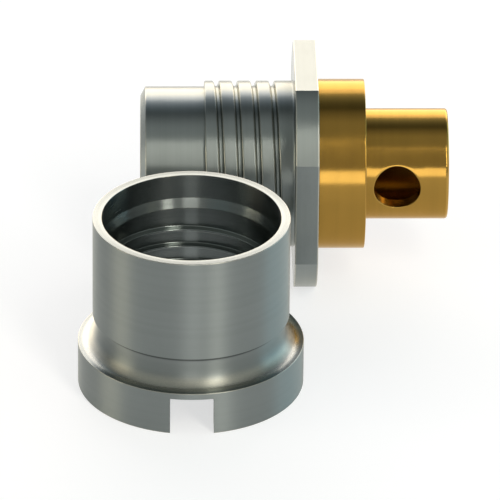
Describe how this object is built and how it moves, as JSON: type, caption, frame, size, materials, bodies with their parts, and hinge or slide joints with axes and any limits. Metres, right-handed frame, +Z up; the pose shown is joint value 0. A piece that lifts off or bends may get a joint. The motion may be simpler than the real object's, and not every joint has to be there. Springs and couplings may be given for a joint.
{
  "type": "smp bulkhead connector",
  "caption": "Small push-on coaxial bulkhead connector for semi-rigid cable, with threaded shank, wrench flange, solder ferrule and a slotted ring nut standing beside it.",
  "frame": {"origin": "on the connector's axis, at the flange face that bears on the panel", "axes": "+X along the connector's axis from the mouth towards the cable end, +Z up; it lies on one wrench flat, the nut stands on its slotted flange towards -Y"},
  "size_m": [0.01, 0.0125, 0.006],
  "materials": {
    "steel": "fine turned, passivated",
    "gold_plate": "gold plated, fine turned",
    "ptfe": "natural PTFE, machined"
  },
  "bodies": {
    "root": {"body": "steel", "cable_ferrule": "gold_plate", "front_insulator": "ptfe", "rear_insulator": "ptfe", "centre_contact": "gold_plate", "mounting_nut": "steel"}
  },
  "joints": []
}
